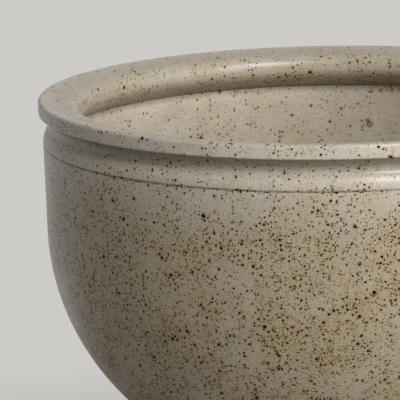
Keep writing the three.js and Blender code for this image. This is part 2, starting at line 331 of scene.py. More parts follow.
def turned(name, outline, segments, material=None, stray=None):
    """Surface of revolution: an outline's point at radius r and height z goes to
    (r cos a, r sin a, z) at every angle a. The outline starts and ends on the axis and is walked
    with the solid on its left. With stray, the radius also gains a length that depends on the angle."""
    radius, height = outline[1:-1].T
    angle = np.arange(segments) * math.tau / segments
    reach = radius[:, None] + (np.zeros(segments) if stray is None else stray(angle))
    rings = np.stack([
        reach * np.cos(angle),
        reach * np.sin(angle),
        np.broadcast_to(height[:, None], reach.shape),
    ], -1)
    ends = np.array([[0, 0, outline[0][1]], [0, 0, outline[-1][1]]])
    return closed_grid(name, rings, ends, material)


def box(low, high):
    """A plain box between two corners in mm, for joining and cutting only."""
    corners = np.array([[x, y, z] for x in (0, 1) for y in (0, 1) for z in (0, 1)])
    points = (np.array(low) + corners * (np.array(high) - np.array(low))) * MM
    faces = [(0, 1, 3, 2), (4, 6, 7, 5), (0, 4, 5, 1), (2, 3, 7, 6), (0, 2, 6, 4), (1, 5, 7, 3)]
    return new_piece("block", points, faces, None)


def round_bar(radius, start, end, segments=48):
    """A cylinder between two points in mm, for cutting only."""
    axis = Vector(end) - Vector(start)
    outline = np.array([(0, 0), (radius, 0), (radius, axis.length), (0, axis.length)])
    bar = turned("bar", outline, segments)
    turn = axis.to_track_quat("Z", "Y").to_matrix().to_4x4()
    return moved(bar, Matrix.Translation(Vector(start) * MM) @ turn)


def moved(piece, matrix):
    """The piece with its mesh turned and shifted, and its object still at the origin."""
    piece.data.transform(matrix)
    piece.data.update()
    return piece


def combined(piece, others, operation):
    """The piece joined with, or cut by, the others, which are used up."""
    for other in others:
        step = piece.modifiers.new(operation, "BOOLEAN")
        step.operation = operation
        step.solver = "EXACT"
        step.object = other
    bpy.context.view_layer.update()
    evaluated = piece.evaluated_get(bpy.context.evaluated_depsgraph_get())
    shaped = bpy.data.meshes.new_from_object(evaluated)
    piece.modifiers.clear()
    piece.data = shaped
    for other in others:
        bpy.data.objects.remove(other)
    return piece


def with_crisp_edges(piece, angle=32):
    """Smooth shading that stays sharp across edges steeper than the angle, in degrees."""
    piece.data.polygons.foreach_set("use_smooth", np.ones(len(piece.data.polygons), bool))
    piece.data.set_sharp_from_angle(angle=math.radians(angle))
    return piece


def belongs(piece, body, node):
    """The piece rides on the body and stands for the node, whose part is hidden."""
    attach(piece, body)
    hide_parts(node)


# ==== Materials ====


def linear(colour):
    """An sRGB hex colour as linear red, green, blue and alpha."""
    parts = np.array([int(colour[i:i + 2], 16) / 255 for i in (1, 3, 5)])
    levels = np.where(parts > 0.04045, ((parts + 0.055) / 1.055) ** 2.4, parts / 12.92)
    return (*levels.tolist(), 1.0)


def new_material(name):
    """An empty material, its node tree, and its Object coordinates in mm."""
    material = bpy.data.materials.new(name)
    material.use_nodes = True
    tree = material.node_tree
    tree.nodes.clear()
    place = add(tree, "TexCoord").outputs["Object"]
    return material, tree, add(tree, "Mapping", {"Vector": place, "Scale": (1 / MM,) * 3})


def add(tree, kind, inputs=(), **settings):
    """Adds a node. Settings are its own properties. Each input is a value, or a link where it is given
    as a socket or as a node, whose first live output is meant."""
    made = tree.nodes.new("ShaderNode" + kind)
    for name, value in settings.items():
        setattr(made, name, value)
    for name, value in dict(inputs).items():
        if isinstance(value, bpy.types.Node):
            value = next(output for output in value.outputs if output.enabled)
        if isinstance(value, bpy.types.NodeSocket):
            tree.links.new(value, made.inputs[name])
        else:
            made.inputs[name].default_value = value
    return made


FACTOR, FIRST, SECOND = 0, 6, 7  # the colour sockets of a Mix node


def waves_every(spacing):
    """Scale of a Wave texture whose bands lie a spacing apart: it has 20 radians in each unit."""
    return math.tau / 20 / spacing


# The grains by size: cell width, smallest and largest radius, the width over which a grain's edge
# fades, and its halo's width, all in mm; the share of the cells that hold one; how strongly its halo
# and its heart show, and how much of both shows through thick glaze; and the colours of both.
GRAINS = (
    (1.20, 0.22, 0.44, 0.18, 0.30, 0.62, 0.38, 0.74, 0.12, "#8a7040", "#523c16"),
    (1.95, 0.34, 0.70, 0.16, 0.50, 0.58, 0.50, 0.97, 0.34, "#856430", "#2e1d03"),
    (3.20, 0.55, 0.98, 0.16, 0.80, 0.52, 0.58, 1.00, 0.60, "#875f28", "#281602"),
    (8.00, 0.80, 1.45, 0.20, 1.50, 0.50, 0.58, 1.00, 0.80, "#8c5a26", "#231301"),
)


# What the bowl's mesh says of the glaze at each point. Its tone also holds painted shade and painted
# light.
ZONE_MARKS = ("grain_share", "glaze_tone_and_painted_shading", "glaze_veil", "glaze_warmth")

# The glaze fades out between these heights above the foot, less up to GLAZE_END_WANDER, which
# changes round the ring. Below that the clay is bare. All in mm.
GLAZE_END = (4.2, 4.6)
GLAZE_END_WANDER = 2.5

# How far, in mm, a grain's outline is pushed from round.
RAGGEDNESS = 0.7

# One large grain inside the bowl has burst. Each row is a ring round a point: the point, the ring's
# radius and half its width in mm, how much it covers, and its colour. A radius of 0 gives a dot.
# WALL_SIDE makes the distance through the wall, about along Y there, count for less.
WALL_SIDE = np.array([1, 0.2, 1])
BURST_GRAIN = (
    ((31.0, 199.7, 417.2), 0.0, 7.0, 0.50, "#9a7d49"),
    ((31.9, 199.6, 415.8), 1.6, 1.4, 0.75, "#6f5226"),
    ((30.6, 199.7, 419.2), 0.0, 2.3, 1.00, "#2a1904"),
)


def speckled_stoneware():
    """Stoneware clay with iron grains under a satin oatmeal glaze. In the kiln the grains melt up
    through the glaze: the eye sees dark brown dots of many sizes, crowded on the body and few on the
    rim, each with a rusty halo, on a warm and a cooler beige that drift into each other. The glaze
    lies thicker on the rim and inside, where it is lighter and veils the grains. The tone also holds
    painted shade in the hollow under the lip and on the roll's underside, and painted light on the
    inner wall just below the roll."""
    material, tree, mm = new_material("speckled_stoneware_glaze")
    share, tone, veil, warm, groove = (
        add(tree, "Attribute", attribute_name=name).outputs["Fac"] for name in (*ZONE_MARKS, "incised")
    )

    # Drifts of warm and cool glaze, with the grains thicker in the warm ones.
    drift = add(tree, "TexNoise", {"Vector": mm, "Scale": 1 / 30, "Detail": 3, "Roughness": 0.6})
    warmth = add(tree, "MapRange", {"Value": drift, "From Min": 0.32, "From Max": 0.68, "To Max": 0.65})
    warmth = add(tree, "Math", {0: warmth, 1: warm}, operation="ADD", use_clamp=True)
    clusters = add(tree, "TexNoise", {"Vector": mm, "Scale": 1 / 11, "Detail": 2})
    clusters = add(tree, "Math", {0: clusters, 1: drift}, operation="ADD")
    crowd = add(tree, "MapRange", {"Value": clusters, "From Min": 0.75, "From Max": 1.25,
                                   "To Min": 0.35, "To Max": 1.65})
    crowd = add(tree, "Math", {0: crowd, 1: share}, operation="MULTIPLY")
    glaze = add(tree, "Mix", {FACTOR: warmth, FIRST: linear("#beb5a6"), SECOND: linear("#b9a784")},
                data_type="RGBA")
    fine = add(tree, "TexNoise", {"Vector": mm, "Scale": 1 / 1.1, "Detail": 2, "Roughness": 0.7})
    fine = add(tree, "MapRange", {"Value": fine, "From Min": 0.3, "From Max": 0.7,
                                  "To Min": 0.84, "To Max": 1.13})
    broad = add(tree, "TexNoise", {"Vector": mm, "Scale": 1 / 13, "Detail": 3})
    broad = add(tree, "MapRange", {"Value": broad, "From Min": 0.3, "From Max": 0.7,
                                   "To Min": 0.95, "To Max": 1.06})
    level = add(tree, "Math", {0: fine, 1: broad}, operation="MULTIPLY")
    # The tone darkens the hollow under the lip and the roll's underside as painted shade, and lightens the
    # wall just below the roll as painted light.
    level = add(tree, "Math", {0: level, 1: tone}, operation="MULTIPLY")
    colour = add(tree, "VectorMath", {0: glaze, "Scale": level}, operation="SCALE")

    # The grains: one in each cell that chance and the crowding pick.
    ripple = add(tree, "TexNoise", {"Vector": mm, "Scale": 1 / 1.3, "Detail": 1})
    ragged = add(tree, "VectorMath", {0: ripple.outputs["Color"], 1: (RAGGEDNESS,) * 3, 2: mm},
                 operation="MULTIPLY_ADD")
    hearts = None
    for cell, small, large, edge, reach, held, halo_level, heart_level, through, *shades in GRAINS:
        cells = add(tree, "TexVoronoi", {"Vector": ragged, "Scale": 1 / cell})
        chance = add(tree, "SeparateColor", {"Color": cells.outputs["Color"]})
        likely = add(tree, "Math", {0: crowd, 1: held}, operation="MULTIPLY")
        there = add(tree, "Math", {0: chance.outputs["Red"], 1: likely}, operation="LESS_THAN")
        strength = add(tree, "MapRange", {"Value": veil, "To Min": 1.0, "To Max": through})
        there = add(tree, "Math", {0: there, 1: strength}, operation="MULTIPLY")
        away = add(tree, "Math", {0: cells.outputs["Distance"], 1: cell}, operation="MULTIPLY")
        radius = add(tree, "MapRange", {"Value": chance.outputs["Green"],
                                        "To Min": small, "To Max": large})
        inside = add(tree, "Math", {0: radius, 1: away}, operation="SUBTRACT")
        halo = add(tree, "MapRange", {"Value": inside, "From Min": -reach, "From Max": edge,
                                      "To Max": halo_level}, interpolation_type="SMOOTHSTEP")
        heart = add(tree, "MapRange", {"Value": inside, "From Min": -edge / 2, "From Max": edge / 2,
                                       "To Max": heart_level}, interpolation_type="SMOOTHSTEP")
        for shown, shade in zip((halo, heart), shades):
            shown = add(tree, "Math", {0: shown, 1: there}, operation="MULTIPLY")
            colour = add(tree, "Mix", {FACTOR: shown, FIRST: colour, SECOND: linear(shade)},
                         data_type="RGBA")
        hearts = shown if hearts is None else add(tree, "Math", {0: hearts, 1: shown}, operation="MAXIMUM")

    # The burst grain, with its stain, its ring and its dark heart.
    wall = add(tree, "VectorMath", {0: ragged, 1: WALL_SIDE}, operation="MULTIPLY")
    for centre, ring, half_width, cover, shade in BURST_GRAIN:
        away = add(tree, "VectorMath", {0: wall, 1: centre * WALL_SIDE}, operation="DISTANCE")
        away = add(tree, "Math", {0: away.outputs["Value"], 1: ring}, operation="SUBTRACT")
        away = add(tree, "Math", {0: away}, operation="ABSOLUTE")
        shown = add(tree, "MapRange", {"Value": away, "From Min": half_width, "From Max": 0,
                                       "To Max": cover}, interpolation_type="SMOOTHSTEP")
        colour = add(tree, "Mix", {FACTOR: shown, FIRST: colour, SECOND: linear(shade)},
                     data_type="RGBA")

    # Glaze and grains gather in the incised line, more in some places than in others. Its dark colour is
    # also painted shade of the groove.
    patchy = add(tree, "TexNoise", {"Vector": mm, "Scale": 1 / 5, "Detail": 4, "Roughness": 0.7})
    patchy = add(tree, "MapRange", {"Value": patchy, "From Min": 0.35, "From Max": 0.6,
                                    "To Min": 0.45, "To Max": 1.0})
    line = add(tree, "Math", {0: groove, 1: patchy}, operation="MULTIPLY")
    colour = add(tree, "Mix", {FACTOR: line, FIRST: colour, SECOND: linear("#2e2008")}, data_type="RGBA")

    # The foot's ring is wiped bare of glaze, to a ragged edge above the seat.
    up = add(tree, "SeparateXYZ", {"Vector": mm})
    wander = add(tree, "TexNoise", {"Vector": mm, "Scale": 1 / 9, "Detail": 3})
    height = add(tree, "Math", {0: wander, 1: GLAZE_END_WANDER, 2: up.outputs["Z"]},
                 operation="MULTIPLY_ADD")
    bare = add(tree, "MapRange", {"Value": height, "From Min": BOWL_SEAT + GLAZE_END[1],
                                  "From Max": BOWL_SEAT + GLAZE_END[0]})
    colour = add(tree, "Mix", {FACTOR: bare, FIRST: colour, SECOND: linear("#a3835f")}, data_type="RGBA")
    # Bare clay is rough, and the grains' hearts are matt in the satin glaze.
    roughness = add(tree, "MapRange", {"Value": bare, "To Min": 0.29, "To Max": 0.85})
    shine = add(tree, "MapRange", {"Value": hearts, "To Min": 0.5, "To Max": 0.06})

    # The glaze swells by hundredths of a millimetre and dips at each heart.
    swell = add(tree, "TexNoise", {"Vector": mm, "Scale": 1 / 6, "Detail": 2})
    pits = add(tree, "Math", {0: hearts, 1: -0.05}, operation="MULTIPLY")
    relief = add(tree, "Math", {0: swell, 1: 0.06, 2: pits}, operation="MULTIPLY_ADD")
    bump = add(tree, "Bump", {"Height": relief, "Distance": MM, "Strength": 1.0})
    surface = add(tree, "BsdfPrincipled", {
        "Base Color": colour, "Roughness": roughness, "Normal": bump, "IOR": 1.5,
        "Specular IOR Level": shine,
    })
    add(tree, "OutputMaterial", {"Surface": surface})
    return material


def oiled_walnut(name, grain_turn, pith):
    """American black walnut, planed or turned, sanded and oiled: chocolate brown, with growth rings
    that run as long arches and stripes, short dark pores along the grain, and a low sheen. grain_turn
    turns the grain's direction onto X, and pith is where the log's heart lies, across the grain, in mm."""
    material, tree, mm = new_material(name)
    lined_up = add(tree, "Mapping", {"Vector": mm, "Rotation": grain_turn, "Location": (0, *pith)})
    drawn = add(tree, "Mapping", {"Vector": lined_up, "Scale": (0.07, 1, 1)})
    # Growth rings 4.5 mm apart.
    rings = add(tree, "TexWave", {"Vector": drawn, "Scale": waves_every(4.5),
                                  "Distortion": 5, "Detail": 2, "Detail Scale": 1.2},
                wave_type="RINGS", rings_direction="X")
    cloud = add(tree, "TexNoise", {"Vector": drawn, "Scale": 1 / 14, "Detail": 3})
    figure = add(tree, "Math", {0: rings.outputs["Fac"], 1: 0.55, 2: cloud}, operation="MULTIPLY_ADD")
    tone = add(tree, "MapRange", {"Value": figure, "From Min": 0.35, "From Max": 1.1})
    wood = add(tree, "Mix", {FACTOR: tone, FIRST: linear("#4a2f1e"), SECOND: linear("#82593a")},
               data_type="RGBA")
    # Pores are 0.2 mm wide, drawn at 0.5 mm so that they show.
    pores = add(tree, "TexNoise", {"Vector": drawn, "Scale": 1 / 0.5, "Detail": 1})
    pores = add(tree, "MapRange", {"Value": pores, "From Min": 0.60, "From Max": 0.68})
    pores = add(tree, "Math", {0: pores, 1: 0.6}, operation="MULTIPLY")
    wood = add(tree, "Mix", {FACTOR: pores, FIRST: wood, SECOND: linear("#2b1a10")}, data_type="RGBA")
    roughness = add(tree, "MapRange", {"Value": tone, "To Min": 0.52, "To Max": 0.42})
    bump = add(tree, "Bump", {"Height": pores, "Distance": -0.15 * MM, "Strength": 0.6})
    surface = add(tree, "BsdfPrincipled", {
        "Base Color": wood, "Roughness": roughness, "Normal": bump, "IOR": 1.48,
    })
    add(tree, "OutputMaterial", {"Surface": surface})
    return material


def maple_dowel(name, across):
    """Hard maple dowel, sawn off and sanded flush: pale end grain with fine growth rings. across turns
    the dowel's axis onto X."""
    material, tree, mm = new_material(name)
    # Growth rings 1.1 mm apart, and nearly straight, because the tree's heart is far away.
    lined_up = add(tree, "Mapping", {"Vector": mm, "Rotation": across, "Location": (0, 5, 3)})
    rings = add(tree, "TexWave", {"Vector": lined_up, "Scale": waves_every(1.1), "Distortion": 2,
                                  "Detail": 2}, wave_type="RINGS", rings_direction="X")
    wood = add(tree, "Mix", {FACTOR: rings.outputs["Fac"], FIRST: linear("#a9794c"),
                             SECOND: linear("#c79a68")}, data_type="RGBA")
    surface = add(tree, "BsdfPrincipled", {"Base Color": wood, "Roughness": 0.55, "IOR": 1.48})
    add(tree, "OutputMaterial", {"Surface": surface})
    return material


def pressed_felt():
    """Wool felt, pressed from loose fibres: matt, dark brown, with paler hairs at the surface."""
    material, tree, mm = new_material("pressed_wool_felt")
    hairs = add(tree, "TexNoise", {"Vector": mm, "Scale": 1 / 0.6, "Detail": 4, "Distortion": 1.5})
    wool = add(tree, "Mix", {FACTOR: hairs, FIRST: linear("#2c241e"), SECOND: linear("#5c4e43")},
               data_type="RGBA")
    bump = add(tree, "Bump", {"Height": hairs, "Distance": 0.3 * MM, "Strength": 0.8})
    surface = add(tree, "BsdfPrincipled", {
        "Base Color": wool, "Roughness": 0.95, "Normal": bump,
        "Sheen Weight": 0.4, "Sheen Roughness": 0.5,
    })
    add(tree, "OutputMaterial", {"Surface": surface})
    return material


def turned_brass():
    """Yellow brass, turned on a lathe: fine rings round the head and a little brown tarnish."""
    material, tree, mm = new_material("turned_brass")
    # The tool's marks are drawn 0.35 mm apart, coarser than real ones, so that they show.
    tool_marks = add(tree, "TexWave", {"Vector": mm, "Scale": waves_every(0.35)},
                     wave_type="RINGS", rings_direction="Z")
    tarnish = add(tree, "TexNoise", {"Vector": mm, "Scale": 1 / 3, "Detail": 3})
    metal = add(tree, "Mix", {FACTOR: tarnish, FIRST: linear("#b8924e"), SECOND: linear("#8a6a35")},
                data_type="RGBA")
    roughness = add(tree, "MapRange", {"Value": tarnish, "To Min": 0.25, "To Max": 0.5})
    bump = add(tree, "Bump", {"Height": tool_marks.outputs["Fac"], "Distance": 0.02 * MM})
    surface = add(tree, "BsdfPrincipled", {
        "Base Color": metal, "Metallic": 1.0, "Roughness": roughness, "Normal": bump,
    })
    add(tree, "OutputMaterial", {"Surface": surface})
    return material


def moulded_nylon():
    """Black nylon, injection moulded: even and half matt, with dusty scuffs."""
    material, tree, mm = new_material("moulded_nylon")
    scuffs = add(tree, "TexNoise", {"Vector": mm, "Scale": 1 / 2.5, "Detail": 5, "Roughness": 0.7})
    scuffs = add(tree, "MapRange", {"Value": scuffs, "From Min": 0.45, "From Max": 0.75})
    nylon = add(tree, "Mix", {FACTOR: scuffs, FIRST: linear("#262423"), SECOND: linear("#4a4744")},
                data_type="RGBA")
    roughness = add(tree, "MapRange", {"Value": scuffs, "To Min": 0.4, "To Max": 0.65})
    surface = add(tree, "BsdfPrincipled", {"Base Color": nylon, "Roughness": roughness, "IOR": 1.53})
    add(tree, "OutputMaterial", {"Surface": surface})
    return material


# ==== The bowl ====


def wall_stray(angle):
    """How far the wall is from true at an angle: one wave for each number of lobes, all together no
    more than the named length."""
    waves = sum(np.sin(lobes * angle + lobes) / len(STRAY_LOBES) for lobes in STRAY_LOBES)
    return WALL_STRAY * (waves - 1) / 2


def bowl():
    """The whole outline, from the foot over the lip to the inside floor, turned about Z."""
    outline = joined(
        foot_outline(), outer_wall_outline(), shoulder_and_cove_outline(),
        lip_outline(), roll_outline(), inner_wall_outline(),
    )
    standing = outline + (0, BOWL_SEAT)
    piece = turned("stoneware_bowl", standing, BOWL_SEGMENTS, speckled_stoneware(), wall_stray)
    mark_zones(piece, outline)
    belongs(piece, "bowl", "bowl")


def mark_zones(piece, outline):
    """Marks each point with how the glaze lies on its part of the bowl: the share of grains that
    show, how light it is, how far it veils the grains, and how warm its beige is, each in even slopes
    between the rows below. How light it is also holds painted shade under the lip and on the roll's
    underside, and painted light on the inner wall just below the roll. Also with how deep in the
    incised line the point lies. All go by the distance run along the outline, in mm."""
    run = np.concatenate([[0], np.cumsum(np.linalg.norm(np.diff(outline, axis=0), axis=1))])
    lip = np.argmax(outline[:, 1])
    line = np.argmin(np.abs(outline[:lip, 1] - LINE_HEIGHT) + np.abs(outline[:lip, 0] - SHOULDER_RADIUS))
    edge = np.argmin(np.abs(outline[:lip, 1] - (BOWL_HEIGHT - LIP_THICKNESS)))
    nose = lip + np.argmin(np.abs(outline[lip:, 1] - (BOWL_HEIGHT - ROLL_NOSE_DEPTH)))
    crease = lip + np.argmin(np.abs(outline[lip:, 1] - (BOWL_HEIGHT - ROLL_DEPTH)))
    zones = np.array([
        # run, share, tone (with painted shade and light), veil, warmth
        (run[line] - 130, 1.00, 1.00, 0.0, 0.40),
        (run[line] - 70, 1.00, 0.96, 0.0, 0.46),
        (run[line] - 30, 1.00, 1.02, 0.0, 0.32),
        (run[line] - 17, 0.66, 1.12, 0.0, 0.12),
        (run[line] - 1.3, 0.44, 1.24, 0.0, -0.10),
        (run[line] - 0.7, 1.20, 1.24, 0.0, -0.10),
        (run[line] + 0.7, 1.20, 1.24, 0.0, -0.10),
        (run[line] + 1.6, 0.38, 1.26, 0.0, -0.14),
        (run[line] + 8, 0.36, 1.34, 0.1, -0.30),
        # Painted shade: the tone falls in the hollow under the lip, where the lip's shadow lies.
        (run[edge] - 12, 0.40, 1.00, 0.1, -0.10),
        (run[edge] - 7, 0.50, 0.64, 0.1, 0.00),
        (run[edge] - 0.5, 0.45, 0.54, 0.1, 0.00),
        (run[edge] + 2, 0.30, 1.36, 0.0, -0.35),
        (run[lip], 0.30, 1.38, 0.0, -0.35),
        (run[lip] + 10, 0.30, 1.27, 0.4, -0.05),
        # Painted shade: from the nose down to the crease the tone falls, darkest just above the crease, on
        # the roll's shaded underside.
        (run[nose], 0.40, 1.16, 0.4, -0.05),
        (run[nose] + 8, 0.90, 0.98, 0.3, 0.15),
        (run[crease] - 9, 1.00, 0.66, 0.2, 0.25),
        (run[crease] - 1.5, 1.00, 0.46, 0.2, 0.30),
        # Painted light: just below the crease the tone peaks, against the roll's shadow on the inner wall.
        (run[crease] + 1, 0.50, 1.62, 0.9, -0.16),
        (run[crease] + 6, 0.50, 1.39, 1.0, -0.18),
        (run[crease] + 14, 0.54, 1.29, 1.0, -0.14),
        (run[crease] + 42, 0.56, 1.23, 0.9, -0.06),
    ]).T
    marks = {name: np.interp(run, zones[0], values) for name, values in zip(ZONE_MARKS, zones[1:])}
    # Full in the middle of the line, and nothing from its edges on.
    marks["incised"] = np.clip(1.3 - np.abs(run - run[line]) / LINE_WIDTH * 2.6, 0, 1)
    for name, values in marks.items():
        rings = np.repeat(values[1:-1], BOWL_SEGMENTS)
        attribute = piece.data.attributes.new(name, "FLOAT", "POINT")
        attribute.data.foreach_set("value", np.concatenate([rings, values[[0, -1]]]).astype(np.float32))


# ==== The stand ====


def leg_radius_at(height):
    """The leg tapers evenly from its top to the floor end."""
    share = (height - LEG_FLOOR_END) / (LEG_TOP - LEG_FLOOR_END)
    return LEG_END_RADIUS + share * (LEG_TOP_RADIUS - LEG_END_RADIUS)


def leg_outline(room=0):
    """Outline of a leg, or with room that of the space round it at a rail's end: a level end, a
    chamfer, an even taper and a quarter circle to the level top."""
    shoulder = LEG_TOP - LEG_TOP_ROUNDING
    corner = (leg_radius_at(shoulder) - LEG_TOP_ROUNDING + room, shoulder)
    chamfer_top = LEG_FLOOR_END + LEG_END_CHAMFER
    foot = (LEG_END_RADIUS - LEG_END_CHAMFER + room, LEG_FLOOR_END)
    return joined(
        straight((0, LEG_FLOOR_END), foot, 3),
        straight((leg_radius_at(chamfer_top) + room, chamfer_top),
                 (leg_radius_at(shoulder) + room, shoulder), 20),
        arc(corner, LEG_TOP_ROUNDING, LEG_TOP_ROUNDING, 0, QUARTER, 12),
        straight((corner[0], LEG_TOP), (0, LEG_TOP), 4),
    )


def tenon(side, room=0):
    """Tenon along X into the leg on that side, or with room its mortise."""
    root, reach = LEG_SPREAD - LEG_TOP_RADIUS - TENON_WIDTH, LEG_SPREAD + TENON_PAST_AXIS + room
    half_width, half_height = TENON_WIDTH / 2 + room, TENON_HEIGHT / 2 + room
    return box(
        (min(side * root, side * reach), -half_width, RAIL_MIDDLE - half_height),
        (max(side * root, side * reach), half_width, RAIL_MIDDLE + half_height),
    )


def peg_holes(side):
    """Bars across X where the two pegs pass through the leg on that side."""
    half, x = LEG_TOP_RADIUS * 2, side * LEG_SPREAD
    return [round_bar(PEG_RADIUS + CLEARANCE, (x, -half, z), (x, half, z)) for z in PEG_HEIGHTS.values()]


def screw_outline(room=0):
    """Outline of the screw, or with room that of its hole, which then also opens below the rail."""
    bottom = RAIL_TOP - RAIL_HEIGHT + SCREW_SINK
    mouth = bottom - (SCREW_SINK + 1 if room else 0)
    return np.array([
        (0, mouth),
        (SCREW_HEAD_RADIUS + room, mouth),
        (SCREW_HEAD_RADIUS + room, bottom + room + SCREW_HEAD_EDGE),
        (SCREW_RADIUS + room, bottom + SCREW_HEAD_HEIGHT + room),
        (SCREW_RADIUS + room, bottom + SCREW_LENGTH - SCREW_RADIUS),
        (0, bottom + SCREW_LENGTH + room),
    ])


def rail_bar(material):
    """Bar along X between the axes of two legs: a rounded rectangle, whose corners are quarter
    circles, carried straight along X and closed at both ends."""
    half_width, half_height = RAIL_WIDTH / 2 - RAIL_ROUNDING, RAIL_HEIGHT / 2 - RAIL_ROUNDING
    corners = ((1, 1), (-1, 1), (-1, -1), (1, -1))
    section = np.concatenate([
        arc((across * half_width, RAIL_MIDDLE + up * half_height), RAIL_ROUNDING, RAIL_ROUNDING,
            quarter * QUARTER, (quarter + 1) * QUARTER, 9)
        for quarter, (across, up) in enumerate(corners)
    ])
    stations = np.linspace(-LEG_SPREAD, LEG_SPREAD, 2)
    rings = np.stack([
        np.repeat(stations[:, None], len(section), 1),
        np.broadcast_to(section[:, 0], (len(stations), len(section))),
        np.broadcast_to(section[:, 1], (len(stations), len(section))),
    ], -1)
    ends = np.array([[x, 0, RAIL_MIDDLE] for x in stations[[0, -1]]])
    return closed_grid("rail", rings, ends, material)


def rail(name, notch_up, turn, material):
    """Rail along X, coped round both legs, with its tenons, its half of the lap at the middle and
    the holes for pegs and screw, then turned about Z."""
    half = RAIL_WIDTH / 2 + CLEARANCE
    low = RAIL_MIDDLE if notch_up else RAIL_MIDDLE - RAIL_HEIGHT
    notch = box((-half, -RAIL_WIDTH, low), (half, RAIL_WIDTH, low + RAIL_HEIGHT))
    legs = [
        moved(turned("leg_space", leg_outline(CLEARANCE), LEG_SEGMENTS),
              Matrix.Translation((side * LEG_SPREAD * MM, 0, 0)))
        for side in (-1, 1)
    ]
    piece = combined(rail_bar(material), legs, "DIFFERENCE")
    piece = combined(piece, [tenon(side) for side in (-1, 1)], "UNION")
    screw_hole = turned("screw_hole", screw_outline(CLEARANCE), 48)
    holes = [hole for side in (-1, 1) for hole in peg_holes(side)]
    piece = with_crisp_edges(combined(piece, [notch, screw_hole, *holes], "DIFFERENCE"))
    piece.name = "walnut_" + name
    belongs(moved(piece, turn), "stand", name)


def leg(place, turn, material):
    """Leg at the end of a rail along X, with its mortise, peg holes and nail hole."""
    piece = turned("walnut_leg_" + place, leg_outline(), LEG_SEGMENTS, material)
    moved(piece, Matrix.Translation((LEG_SPREAD * MM, 0, 0)))
    nail_top = LEG_FLOOR_END + NAIL_LENGTH + CLEARANCE
    nail_hole = round_bar(
        NAIL_RADIUS + CLEARANCE, (LEG_SPREAD, 0, LEG_FLOOR_END - 1), (LEG_SPREAD, 0, nail_top),
    )
    combined(piece, [tenon(1, CLEARANCE), nail_hole, *peg_holes(1)], "DIFFERENCE")
    belongs(moved(with_crisp_edges(piece), turn), "stand", "leg_" + place)


def peg(place, level, turn, material):
    """Dowel across a leg, sanded to the leg's own curve. Rings about Y with radius p: a point of
    either end lies where x = p sin a and z = p cos a meet the leg's round surface, a little proud,
    less the drop of a small quarter circle at the edge."""
    height = PEG_HEIGHTS[level]
    flat = np.linspace(0.5, PEG_RADIUS - PEG_EDGE, 6)  # radii of the rings on the flat of an end
    edge = np.linspace(0.15, 1, 5) * QUARTER  # angles round the small quarter circle
    radii = np.concatenate([flat, flat[-1] + PEG_EDGE * np.sin(edge)])
    drops = np.concatenate([np.zeros(len(flat)), PEG_EDGE * (1 - np.cos(edge))])
    angle = np.arange(PEG_SEGMENTS) * math.tau / PEG_SEGMENTS
    x, z = radii[:, None] * np.sin(angle), radii[:, None] * np.cos(angle)
    y = np.sqrt(leg_radius_at(height + z) ** 2 - x ** 2) + PEG_PROUD - drops[:, None]
    near = np.stack([x, -y, z], -1)
    far = np.stack([x, y, z], -1)[::-1]
    tip = leg_radius_at(height) + PEG_PROUD
    rings = np.concatenate([near, far]) + (LEG_SPREAD, 0, height)
    ends = np.array([[LEG_SPREAD, -tip, height], [LEG_SPREAD, tip, height]])
    piece = with_crisp_edges(closed_grid(f"maple_peg_{place}_{level}", rings, ends, material), 50)
    belongs(moved(piece, turn), "stand", f"peg_{place}_{level}")


def glide(place, turn, material):
    """Domed nylon foot with the nail moulded into it: a level face, a quarter circle, an upright edge
    with a chamfer, and the nail's straight shank and cone, turned about the leg's axis."""
    r = GLIDE_ROUNDING
    point = GLIDE_HEIGHT + NAIL_LENGTH
    outline = joined(
        straight((0, 0), (GLIDE_RADIUS - r, 0), 4),
        arc((GLIDE_RADIUS - r, r), r, r, -QUARTER, 0, 10),
        straight((GLIDE_RADIUS, r), (GLIDE_RADIUS, GLIDE_HEIGHT - GLIDE_CHAMFER), 3),
        straight((GLIDE_RADIUS - GLIDE_CHAMFER, GLIDE_HEIGHT), (NAIL_RADIUS, GLIDE_HEIGHT), 3),
        straight((NAIL_RADIUS, GLIDE_HEIGHT), (NAIL_RADIUS, point - NAIL_TIP), 3),
        straight((NAIL_RADIUS, point - NAIL_TIP), (0, point), 3),
    )
    piece = with_crisp_edges(turned("nylon_glide_" + place, outline, 64, material))
    moved(piece, turn @ Matrix.Translation((LEG_SPREAD * MM, 0, 0)))
    belongs(piece, "stand", "floor_glide_" + place)


def pad(place, turn, material):
    """Felt disc whose cut edge is a little soft: two level faces joined by quarter circles."""
    r = PAD_ROUNDING
    outline = joined(
        straight((0, 0), (PAD_RADIUS - r, 0), 8),
        arc((PAD_RADIUS - r, r), r, r, -QUARTER, 0, 5),
        arc((PAD_RADIUS - r, PAD_THICKNESS - r), r, r, 0, QUARTER, 5),
        straight((PAD_RADIUS - r, PAD_THICKNESS), (0, PAD_THICKNESS), 8),
    )
    piece = turned("felt_disc_" + place, outline + (0, RAIL_TOP), 64, material)
    moved(piece, turn @ Matrix.Translation((PAD_CIRCLE * MM, 0, 0)))
    belongs(piece, "stand", "felt_pad_" + place)


def screw(material):
    """Countersunk wood screw with a plain slot, up through the lap of the rails: its outline turned
    about Z, less a bar across the head."""
    bottom = RAIL_TOP - RAIL_HEIGHT + SCREW_SINK
    slot = box(
        (-SCREW_HEAD_RADIUS * 2, -SCREW_SLOT_WIDTH / 2, bottom - 1),
        (SCREW_HEAD_RADIUS * 2, SCREW_SLOT_WIDTH / 2, bottom + SCREW_SLOT_DEPTH),
    )
    piece = turned("brass_screw", screw_outline(), 48, material)
    with_crisp_edges(combined(piece, [slot], "DIFFERENCE"))
    belongs(piece, "stand", "centre_screw")


